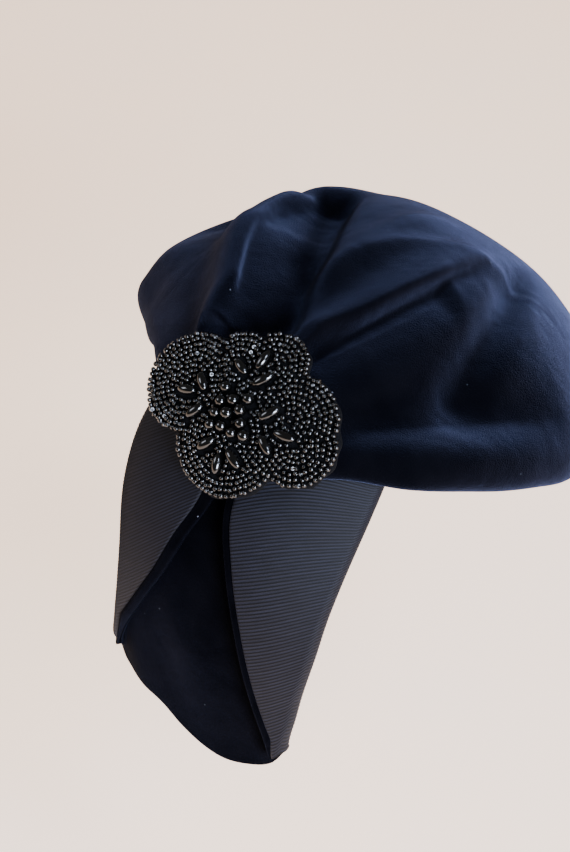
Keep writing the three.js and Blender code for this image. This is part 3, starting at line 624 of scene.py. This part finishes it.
# The tail's lines at shares of the way down, as columns: the folds' and the lapels' edges' angles.
class TailPlace:
    def __init__(self, down):
        self.down = down[:, None]
        self.leftFold, self.rightFold, self.leftEdge, self.rightEdge = (
            levelCurve(tailTable[:, 0], tailTable[:, k], down)[:, None] for k in range(1, 5))

    # From the top down to the hem's height at that place across, by the share of the way.
    def z(self, angle):
        across = (2 * angle - self.leftFold - self.rightFold) / (self.rightFold - self.leftFold)
        return tailTop + (levelCurve(hem[:, 0], hem[:, 1], across) - tailTop) * self.down

    # How many mm a degree is at the panel, times the cosine of its slope above the hollow's middle.
    def perDegree(self, angle):
        share = np.maximum(self.z(angle), 0) / (hollow["up"] + tailLook["panel"])
        return (hollow["side"] + tailLook["panel"]) * np.sqrt(1 - share**2) * degree

    # On an upright elliptic cylinder below the hollow's middle, and shrunk to the ellipsoid above it.
    def point(self, angle, height):
        z = self.z(angle)
        shrink = np.sqrt(1 - (np.maximum(z, 0) / (hollow["up"] + height)) ** 2)
        return np.stack([(hollow["side"] + height) * np.sin(angle * degree) * shrink,
                         -(hollow["back"] + height) * np.cos(angle * degree) * shrink,
                         z - hollow["up"]], -1)


# One side's fold, a half circle round its centre line: stations at a reach towards the lapel's edge and a
# turn. At the hem the circle opens to a flat corner, and its centre moves out to keep the fold's line.
class Fold:
    def __init__(self, place, side):
        angle = place.leftFold if side < 0 else place.rightFold
        edgeAngle = place.leftEdge if side < 0 else place.rightEdge
        self.side = side
        self.perDegree = place.perDegree(angle)
        whole = angle - side * tailLook["fold"] / self.perDegree
        length = side * (whole - edgeAngle) * self.perDegree
        self.flat = np.maximum(length, 0.02)  # never quite nothing, so that no faces fall together
        self.shrink = np.minimum(1, self.flat / tailLook["turned"]["whole"])
        self.turned = tailLook["turned"]["widths"][side] * self.shrink
        opens = tailLook["opens"]
        ran = np.clip(1 + np.minimum(length, 0) / opens["over"], opens["least"], 1)
        uncurled = smooth((1 - place.down) / opens["uncurl"][side])
        self.opened = ran * (opens["atHem"] + (1 - opens["atHem"]) * uncurled)
        widest = np.sin(np.pi * (1 - np.minimum(self.opened, 0.5)))  # how far out the opened circle gets
        self.centre = angle - side * tailLook["fold"] * widest / self.perDegree

    # Angle, height and the cloth's normal there.
    def station(self, reach, turn):
        angle = (180 - (180 - turn) * self.opened) * degree
        radius = tailLook["fold"]
        return np.broadcast_arrays(
            self.centre + self.side * (radius * np.sin(angle) - reach) / self.perDegree,
            tailLook["panel"] + radius + radius * np.cos(angle),
            self.side * np.sin(angle) / self.perDegree,
            np.cos(angle))


# Half of an ellipse's height at a share of its width.
def dome(share):
    return np.sqrt(np.clip(1 - (2 * share - 1) ** 2, 0, 1))


# Stations of one side, from the lapel's edge over the turned velvet edge and the lapel, round the fold to
# the panel, and how much higher and how blunt the cloth is at each.
def sideStations(place, side):
    look = tailLook
    fold = Fold(place, side)
    turned = look["turned"]
    share = ((1 - np.cos(np.linspace(0, np.pi, turned["points"]))) / 2)[None]
    rim = fold.station(fold.flat - share * fold.turned, 0)
    rimRise = 1 + turned["rise"] * dome(share) * fold.shrink
    rimNose = dome(np.minimum(share / turned["nose"], 0.5))
    left = fold.flat - fold.turned
    steps = (np.arange(1, look["lapelPoints"] + 1) / look["lapelPoints"])[None]
    lapel = fold.station(left * (1 - steps), 0)
    turns = 180 * (np.arange(1, look["foldPoints"] + 1) / look["foldPoints"])[None]
    curl = fold.station(0, turns)
    stations = [np.concatenate(parts, 1) for parts in zip(rim, lapel, curl)]
    plain = np.ones((len(place.down), look["lapelPoints"] + look["foldPoints"]))
    rise = np.concatenate([rimRise, plain], 1)
    nose = np.concatenate([np.repeat(rimNose, len(place.down), 0), plain], 1)
    return stations, rise, nose


# A closed body from the front and the rear of strips, row by row, with flat ends.
def stripBody(name, front, rear, material, uv=None):
    loop = np.concatenate([front, rear[:, ::-1]], 1)
    rows, count = loop.shape[:2]
    points = loop.reshape(-1, 3)
    half = count // 2
    here = np.arange(half - 1)
    ends = [np.stack([row * count + here, row * count + here + 1,
                      row * count + count - 2 - here, row * count + count - 1 - here], -1)[:, ::step]
            for row, step in ((0, 1), (rows - 1, -1))]
    faces = facesOut(points, [*ringFaces(rows, count, False), *ends])
    mapped = None if uv is None else np.concatenate([uv, uv[:, ::-1]], 1).reshape(-1, 2)
    return makeMesh(name, points, faces, material, mapped)


# The tail: both sides' stations with the panel's between them, moved out and in by half the wall.
def makeTail():
    look = tailLook
    half = look["wall"] / 2
    down = 1 - (1 - np.linspace(0, 1, look["rows"])) ** look["crowding"]
    place = TailPlace(down)
    left, leftRise, leftNose = sideStations(place, -1)
    right, rightRise, rightNose = sideStations(place, 1)
    steps = (np.arange(1, look["panelPoints"] + 1) / (look["panelPoints"] + 1))[None]
    ones = np.ones((look["rows"], look["panelPoints"]))
    leftEnd, rightEnd = left[0][:, -1:], right[0][:, -1:]
    panel = (leftEnd + (rightEnd - leftEnd) * steps, ones * look["panel"], ones * 0, -ones)
    angle, height, normalAngle, normalHeight = (
        np.concatenate([l, p, r[:, ::-1]], 1) for l, p, r in zip(left, panel, right))
    rise = np.concatenate([leftRise, ones, rightRise[:, ::-1]], 1)
    nose = np.concatenate([leftNose, ones, rightNose[:, ::-1]], 1)
    length = look["long"] * (1 - down[:, None])  # left to the hem
    nose = nose * dome(np.minimum(length / look["hemRound"], 0.5))
    height = height + tailWaves(place, angle)
    front = place.point(angle + normalAngle * half * rise * nose,
                        height + normalHeight * half * rise * nose)
    rear = place.point(angle - normalAngle * half * nose, height - normalHeight * half * nose)
    # The tail takes the velvet copy whose lower sheen is painted shade.
    return stripBody("tailVelvet", front, rear, paintedShadeVelvet)


# Slow waves of the cloth, in mm: a sum of sines that grows towards the hem.
def tailWaves(place, angle):
    z = place.z(angle)
    return smooth(place.down) * sum(
        rise * np.sin(z / long + angle / wide + start) for rise, long, wide, start in tailLook["waves"])


facingLook = {
    "rows": 460, "lapelPoints": 60, "roundPoints": 8,
    "wall": 0.9, "gap": 0.18, "ribDepth": 0.16, "edgeRound": 1.6, "leastWide": 0.1,  # mm
    "start": 0.92, "turn": 78,  # from this share of the turned edge to this far round the fold in degrees
    "ends": {-1: 0.80, 1: 0.95},  # share of the way down
    "perDegree": 1.36, "upRadius": 96.0,  # mm round the hollow, and the radius followed upwards
    "downUnit": 100,  # mm down the tail for each unit of t in the ribs' rise
    # how the ribs rise towards the wearer's right: x times a slope that changes with t, by three values, plus
    # x squared times a bow that changes by two
    "rise": {-1: (0.63, 1.5, -0.7, -0.0011, 0.0105), 1: (0.7, -0.8, -0.53, -0.0115, 0.0307)},
    "closer": {-1: 0.92, 1: 1.0},  # how many ribs for one on the right
}


# A facing: the lapel's stations from the turned edge to the fold and a little round it. Its ribs are
# raised by the cosine of their phase, which is the way up less how far the ribs rise, over the distance
# between them.
def makeFacing(name, side):
    look = facingLook
    place = TailPlace(np.linspace(0, look["ends"][side], look["rows"]))
    fold = Fold(place, side)
    left = np.maximum(fold.flat - fold.turned * look["start"], look["leastWide"])
    steps = np.linspace(0, 1, look["lapelPoints"])[None]
    turns = look["turn"] * (np.arange(1, look["roundPoints"] + 1) / look["roundPoints"])[None]
    angle, height, normalAngle, normalHeight = (
        np.concatenate(pair, 1) for pair in zip(fold.station(left * (1 - steps), 0), fold.station(0, turns)))
    height = height + tailWaves(place, angle)
    x = angle * look["perDegree"]
    z = place.z(angle)
    reach = look["upRadius"]
    upwards = np.where(z > 0, reach * np.arcsin(np.clip(z / reach, 0, 1)), z)
    a, b, c, bow, growth = look["rise"][side]
    t = (tailTop - z) / look["downUnit"]
    rise = x * (a + b * t + c * t**2) + x**2 * (bow + growth * t)
    ribAt = (upwards - rise) * look["closer"][side]
    phase = 2 * np.pi * ribAt / ribbedSilk["rib"]
    near = tailLook["wall"] / 2 + look["gap"]
    edgeFade = dome(np.clip(steps * left / look["edgeRound"], 0, 0.5))
    thick = look["wall"] * np.concatenate([edgeFade, np.ones((look["rows"], look["roundPoints"]))], 1)
    outer = near + thick + look["ribDepth"] * (np.cos(phase) - 1) / 2 * np.minimum(thick, 1)
    front = place.point(angle + normalAngle * outer, height + normalHeight * outer)
    rear = place.point(angle + normalAngle * near, height + normalHeight * near)
    uv = np.stack([x + (a + b * t) * upwards, ribAt], -1) * mm
    return stripBody(name, front, rear, ribbed, uv)


tail = makeTail()
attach(tail, "root")
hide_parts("tail")
for name, node, side, flat in (("facingLeft", "facing_left", -1, (0.046, 0.085)),
                               ("facingRight", "facing_right", 1, (0.046, 0.104))):
    facing = makeFacing(name, side)
    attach(facing, "root")
    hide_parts(node)
print("tail made")


# Flower

flowerNormal = normalOf(gather)
flowerUp = np.array([0, 0, 1.0]) - flowerNormal * flowerNormal[2]
flowerUp /= np.linalg.norm(flowerUp)
flowerRight = np.cross(flowerUp, flowerNormal)


# Point over the flower's underside: x to the wearer's right, y up, bent back by the parabolas.
def onFlower(x, y, height):
    x, y, height = np.broadcast_arrays(x, y, height)
    rise = (height - bend(x, y))[..., None]
    return (over(gather, flower["seat"]) + x[..., None] * flowerRight + y[..., None] * flowerUp
            + rise * flowerNormal)


# How far the backing reaches at an angle: the ways out of the scalloped lobes along the ray, to a high
# power, summed, and the root of that, which is a soft largest.
def outline(angle):
    total = np.zeros_like(angle)
    for x, y, radius in flower["lobes"]:
        dx, dy = x - flower["centre"][0], y - flower["centre"][1]
        middle = dx * np.cos(angle) + dy * np.sin(angle)
        inside = radius**2 - dx**2 - dy**2 + middle**2
        wayOut = middle + np.sqrt(np.maximum(inside, 0))
        around = np.arctan2(wayOut * np.sin(angle) - dy, wayOut * np.cos(angle) - dx)
        scalloped = np.maximum(wayOut + flower["scallop"] * np.cos(flower["scallops"] * around), 1)
        total += np.where((inside > 0) & (middle > -radius), scalloped ** flower["blend"], 0)
    return total ** (1 / flower["blend"])


# Rings on the top and underneath run from and to these shares of the outline, and the third value says how
# many they are. The edge's run over radians of its turn, and its nose is a share of the outline.
backingLook = {
    "columns": 216, "top": (0.08, 0.92, 16), "under": (0.92, 0.2, 6), "edge": (0.3, 2.6, 7), "nose": 0.03,
}


# The net backing: rings at shares of the outline, over the top, round the edge by a sine and back below.
def makeBacking():
    look = backingLook
    columns = look["columns"]
    angle = np.arange(columns) * 2 * np.pi / columns
    wall = flower["wall"]
    nose = look["nose"]
    levels = [(s, wall) for s in np.linspace(*look["top"])]
    levels += [(1 - nose + nose * np.sin(a), wall * (1 + np.cos(a)) / 2) for a in np.linspace(*look["edge"])]
    levels += [(s, 0.0) for s in np.linspace(*look["under"])]
    cx, cy = flower["centre"]
    reach = outline(angle)
    rings = np.stack([onFlower(cx + reach * s * np.cos(angle), cy + reach * s * np.sin(angle), h)
                      for s, h in levels])
    poles = np.stack([onFlower(cx, cy, wall), onFlower(cx, cy, 0)])
    points = np.concatenate([rings.reshape(-1, 3), poles])
    return makeMesh("flowerNet", points, facesOut(points, ringFaces(len(rings), columns, True)), net)


# x, y and diameter of each round bead, in mm
pearls = [
    (-2.3, 4.6, 3.6), (-1.3, 0.1, 3.6), (2.4, 2.2, 3.8), (6.7, 4.6, 3.8), (-0.9, -3.7, 3.4),
    (2.9, -2.2, 4.1), (6.3, 0.5, 3.9), (-0.4, -7.5, 3.5), (3.3, -6.4, 3.6), (8.7, -2.9, 3.7),
    (7.5, -6.7, 3.5), (11.7, -5.7, 3.8)]
# x, y, angle of the long axis in degrees, length and width of each oval bead, in mm
ovals = [
    (-14.3, -1.8, 18, 6.6, 3.2), (-10.8, 2.7, -40, 6.6, 3.2), (-7.8, -6.2, 60, 6.6, 3.1),
    (-1.7, 12.2, -23, 6.2, 3.1), (3.5, 17.2, 87, 6.9, 3), (7.2, 11.9, 57, 7.4, 3),
    (15.1, 3.9, 57, 7.4, 3.2), (1.4, -13.1, 54, 6.6, 3.2), (7.8, -16.7, 107, 6.5, 3.1),
    (11.9, -13.1, -25, 7.4, 3.2), (19, -4.9, -32, 7, 3.2), (22.9, 0.2, 9, 7.6, 3.2)]
beadLook = {
    "gap": 0.3, "columns": 28, "rows": 16,
    "hole": 0.14, "dimple": 0.12,  # radians that the hole takes off each end, and its depth in mm
}


# Frames on the flower at x, y: along an angle, outwards and across, from the surface a step to each side.
def flowerFrame(x, y, angle):
    step = 0.5  # mm
    alongX = onFlower(x + step, y, 0) - onFlower(x - step, y, 0)
    alongY = onFlower(x, y + step, 0) - onFlower(x, y - step, 0)
    long = alongX * np.cos(angle)[..., None] + alongY * np.sin(angle)[..., None]
    long /= np.linalg.norm(long, axis=-1, keepdims=True)
    out = flowerNormal - long * (long @ flowerNormal)[..., None]
    out /= np.linalg.norm(out, axis=-1, keepdims=True)
    return long, out, np.cross(long, out)


# A bead turned on its long axis: its radius is half the width times the sine of the way along, as an
# angle, with a dimple at each hole.
def makeBead(name, x, y, angle, length, width):
    look = beadLook
    long, out, across = flowerFrame(np.array(x), np.array(y), np.array(angle * degree))
    t = np.linspace(look["hole"], np.pi - look["hole"], look["rows"])[:, None]
    a = (np.arange(look["columns"]) * 2 * np.pi / look["columns"])[None]
    radius = width / 2 * np.sin(t)
    centre = onFlower(x, y, flower["wall"] + look["gap"] + width / 2)
    rings = (centre + (-length / 2 * np.cos(t))[..., None] * long + (radius * np.cos(a))[..., None] * out
             + (radius * np.sin(a))[..., None] * across)
    poleAt = 0.5 * length * np.cos(look["hole"]) - look["dimple"]
    poles = np.stack([centre - long * poleAt, centre + long * poleAt])
    points = np.concatenate([rings.reshape(-1, 3), poles])
    return makeMesh(name, points, facesOut(points, ringFaces(look["rows"], look["columns"], True)), glass)


backing = makeBacking()
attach(backing, "root")
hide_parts("medallion")
for kind, table in (("pearl", [(x, y, 0, d, d) for x, y, d in pearls]), ("oval", ovals)):
    for number, (x, y, angle, length, width) in enumerate(table, 1):
        bead = makeBead(f"{kind}Bead{number:02d}", x, y, angle, length, width)
        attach(bead, "root")
        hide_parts(f"{kind}_{number:02d}")
print("flower's large beads made")


# Seed beads

# in mm, but sides, shares and slopes
seedLook = {
    "size": 1.66, "sizes": (0.84, 1.06), "sides": 9,  # sizes: shares of the size, from the least to the most
    "pitch": 1.68,  # from bead to bead on a row
    "row": 1.72, "first": 0.5, "rows": 10, "leastRow": 0.8,  # from row to row, and a row's least radius
    "clear": 1.42, "clearOfLarge": 0.62, "overlap": 0.35,  # of each other, large beads and other lobes' rows
    "extra": 9000, "inset": 0.7,  # random places that are tried in the room left, and how far in
    "box": ((-34, -29, 0), (42, 31, np.pi)),  # least and most x, y and turn of the random places
    "turnOn": 0.7,  # radians by which each row starts later
    "jitter": 0.16, "tilt": 0.5, "swing": 0.4,  # spread of the places, slopes and turns
    "sunk": 0.15, "lift": 0.3,  # how deep into the net the lowest sits, and how much higher the highest
}
# a seed bead's profile, as shares of its size: from inside the hole at one end over the barrel to the other
seedAlong = np.array([-0.28, -0.40, -0.33, 0, 0.33, 0.40, 0.28])
seedRadii = np.array([0.14, 0.30, 0.44, 0.5, 0.44, 0.30, 0.14])
seedHole = np.array([-0.2, 0.2])


# How deep places are inside the flower: the most of each lobe's radius less the distance from its centre.
def depthInside(x, y):
    return -outside(x, y)


# Distance from places to the nearest large bead's edge: the round beads as circles, the ovals as five
# circles in a row whose radius falls with the square of the way to the ends.
def fromLargeBeads(x, y):
    narrowing = 0.3  # share that the end circles are smaller by
    circles = [(px, py, d / 2) for px, py, d in pearls]
    for ox, oy, angle, length, width in ovals:
        for share in (-1, -0.5, 0, 0.5, 1):
            reach = share * (length - width * (1 - narrowing)) / 2
            circles.append((ox + reach * np.cos(angle * degree), oy + reach * np.sin(angle * degree),
                            width / 2 * (1 - narrowing * share**2)))
    circles = np.array(circles)
    return (np.hypot(x[:, None] - circles[:, 0], y[:, None] - circles[:, 1]) - circles[:, 2]).min(1)


# Rows follow the lobes' edges inwards, as many beads on each as fit round it at the pitch, and what room
# is left takes beads at random places. A place is kept where it is clear of the large beads and of the
# places kept before it.
def seedPlaces():
    look = seedLook
    lobes = flower["lobes"]
    tries = []
    for depth in range(look["rows"]):
        for number, (x, y, radius) in enumerate(lobes):
            ring = radius - look["first"] - depth * look["row"]
            if ring > look["leastRow"]:
                count = int(2 * np.pi * ring / look["pitch"])
                angle = number + depth * look["turnOn"] + np.arange(count) * 2 * np.pi / count
                places = np.stack([x + ring * np.cos(angle), y + ring * np.sin(angle), angle + np.pi / 2], -1)
                inside = depthInside(places[:, 0], places[:, 1])
                tries.append(places[inside < radius - ring + look["overlap"]])
    spare = rng.uniform(*look["box"], (look["extra"], 3))
    tries = np.concatenate([*tries, spare[depthInside(spare[:, 0], spare[:, 1]) > look["inset"]]])
    tries = tries[fromLargeBeads(tries[:, 0], tries[:, 1]) > look["clearOfLarge"]]
    kept = tries[:1]
    for place in tries[1:]:
        if np.hypot(kept[:, 0] - place[0], kept[:, 1] - place[1]).min() > look["clear"]:
            kept = np.vstack([kept, place])
    return kept


# All the seed beads as one mesh: a barrel of rings, the profile along and round its axis, repeated at
# every place by array sums.
def makeSeeds():
    look = seedLook
    places = seedPlaces()
    count = len(places)
    places[:, :2] += rng.normal(0, look["jitter"], (count, 2))
    places[:, 2] += rng.normal(0, look["swing"], count)
    size = look["size"] * rng.uniform(*look["sizes"], count)
    long, out, across = flowerFrame(places[:, 0], places[:, 1], places[:, 2])
    lift = rng.normal(0, look["tilt"], count)[:, None]
    long = long + out * lift
    long /= np.linalg.norm(long, axis=1, keepdims=True)
    out = np.cross(across, long)
    height = flower["wall"] + size / 2 - look["sunk"] + rng.uniform(0, look["lift"], count)
    centre = onFlower(places[:, 0], places[:, 1], height)
    angle = np.arange(look["sides"]) * 2 * np.pi / look["sides"]
    body = (seedAlong[:, None, None] * long[:, None, None]
            + seedRadii[:, None, None] * (np.cos(angle)[:, None] * out[:, None, None]
                                          + np.sin(angle)[:, None] * across[:, None, None]))
    body = body * size[:, None, None, None] + centre[:, None, None]
    inner = centre[:, None] + long[:, None] * (seedHole[:, None] * size[:, None, None])
    points = np.concatenate([body.reshape(count, -1, 3), inner], 1)
    single = facesOut(points[0] - centre[0], ringFaces(len(seedAlong), look["sides"], True))
    shift = (np.arange(count) * points.shape[1])[:, None, None]
    faces = [(face[None] + shift).reshape(-1, face.shape[1]) for face in single]
    print(count, "seed beads")
    return makeMesh("seedBeads", points.reshape(-1, 3), faces, glass)


seeds = makeSeeds()
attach(seeds, "root")
print("seed beads made")


# Floor, light and camera

studio = {
    "floor": "#f6dcc4", "floorPatches": "#e2dacf", "floorAt": -0.26, "floorSize": 6.0,  # metres
    "floorLight": "#ffd4ad", "glow": 1.5,  # the floor's own faint light, for the photo's bright background
    "grain": 9, "roughness": 0.9,  # the floor's patches to a metre, and its matt paint
    "world": "#f3eee8", "worldStrength": 0.15,
    # place and size in metres, power and colour of each soft light, all aimed at the flower
    "lights": {
        "windowLight": ((1.25, -0.75, 0.5), 0.6, 92, "#dce8ff"),
        "skyLight": ((0.9, -0.2, 1.15), 0.4, 16, "#d8e5ff"),
        "fillLight": ((-1.0, -0.7, 0.8), 0.6, 9, "#eef2ff"),
    },
}


# A square of painted board under the hat, with slightly greyer patches. It has no gloss.
def makeFloor():
    material, tree = newMaterial("paintedBoard")
    place = addNode(tree, "TexCoord").outputs["Object"]
    grain = addNode(tree, "TexNoise", inputs={"Vector": place, "Scale": studio["grain"], "Detail": 4})
    colour = addNode(tree, "Mix", {"data_type": "RGBA"}, {
        "Factor": grain.outputs["Fac"],
        "A": toLinear(studio["floor"]), "B": toLinear(studio["floorPatches"])})
    finishMaterial(tree, addNode(tree, "BsdfPrincipled", inputs={
        "Base Color": colour.outputs["Result"], "Roughness": studio["roughness"],
        "Emission Color": toLinear(studio["floorLight"]), "Emission Strength": studio["glow"]}))
    size = studio["floorSize"] / 2 / mm
    z = studio["floorAt"] / mm
    corners = np.array([[-size, -size, z], [size, -size, z], [size, size, z], [-size, size, z]])
    return makeMesh("floor", corners, [np.array([[0, 1, 2, 3]])], material)


# The soft lights, each turned so that its -Z axis runs to the gather, and a faint light from all round.
def addLights():
    target = Vector(over(gather, 0) * mm)
    for name, (place, size, power, colour) in studio["lights"].items():
        light = bpy.data.lights.new(name, "AREA")
        light.size = size
        light.energy = power
        light.color = toLinear(colour)[:3]
        lamp = bpy.data.objects.new(name, light)
        lamp.location = place
        lamp.rotation_euler = (target - Vector(place)).to_track_quat("-Z", "Y").to_euler()
        bpy.context.scene.collection.objects.link(lamp)
    world = bpy.data.worlds.new("studio")
    world.use_nodes = True
    world.node_tree.nodes["Background"].inputs["Color"].default_value = toLinear(studio["world"])
    world.node_tree.nodes["Background"].inputs["Strength"].default_value = studio["worldStrength"]
    bpy.context.scene.world = world


# azimuth and elevation in degrees, distance, aim's offsets to the right and up and focal length in mm
view = {"azimuth": 35, "elevation": 40, "distance": 700, "aimRight": -26.1, "aimUp": 22.3, "lens": 85}


# The camera stands at its distance from the aim, back along the line of its azimuth and elevation.
def addCamera():
    a, e = view["azimuth"] * degree, view["elevation"] * degree
    right = np.array([np.cos(a), np.sin(a), 0])
    back = np.array([np.sin(a) * np.cos(e), -np.cos(a) * np.cos(e), np.sin(e)])
    up = np.cross(back, right)
    aim = right * view["aimRight"] + up * view["aimUp"] - np.array([0, 0, hollow["up"]])
    camera = bpy.data.cameras.new("camera")
    camera.lens = view["lens"]
    camera.clip_start = 0.01
    seen = bpy.data.objects.new("camera", camera)
    turned = Matrix([[*row] for row in np.stack([right, up, back], 1)]).to_4x4()
    seen.matrix_world = Matrix.Translation(Vector((aim + back * view["distance"]) * mm)) @ turned
    bpy.context.scene.collection.objects.link(seen)
    bpy.context.scene.camera = seen


makeFloor()
addLights()
addCamera()
print("studio made")
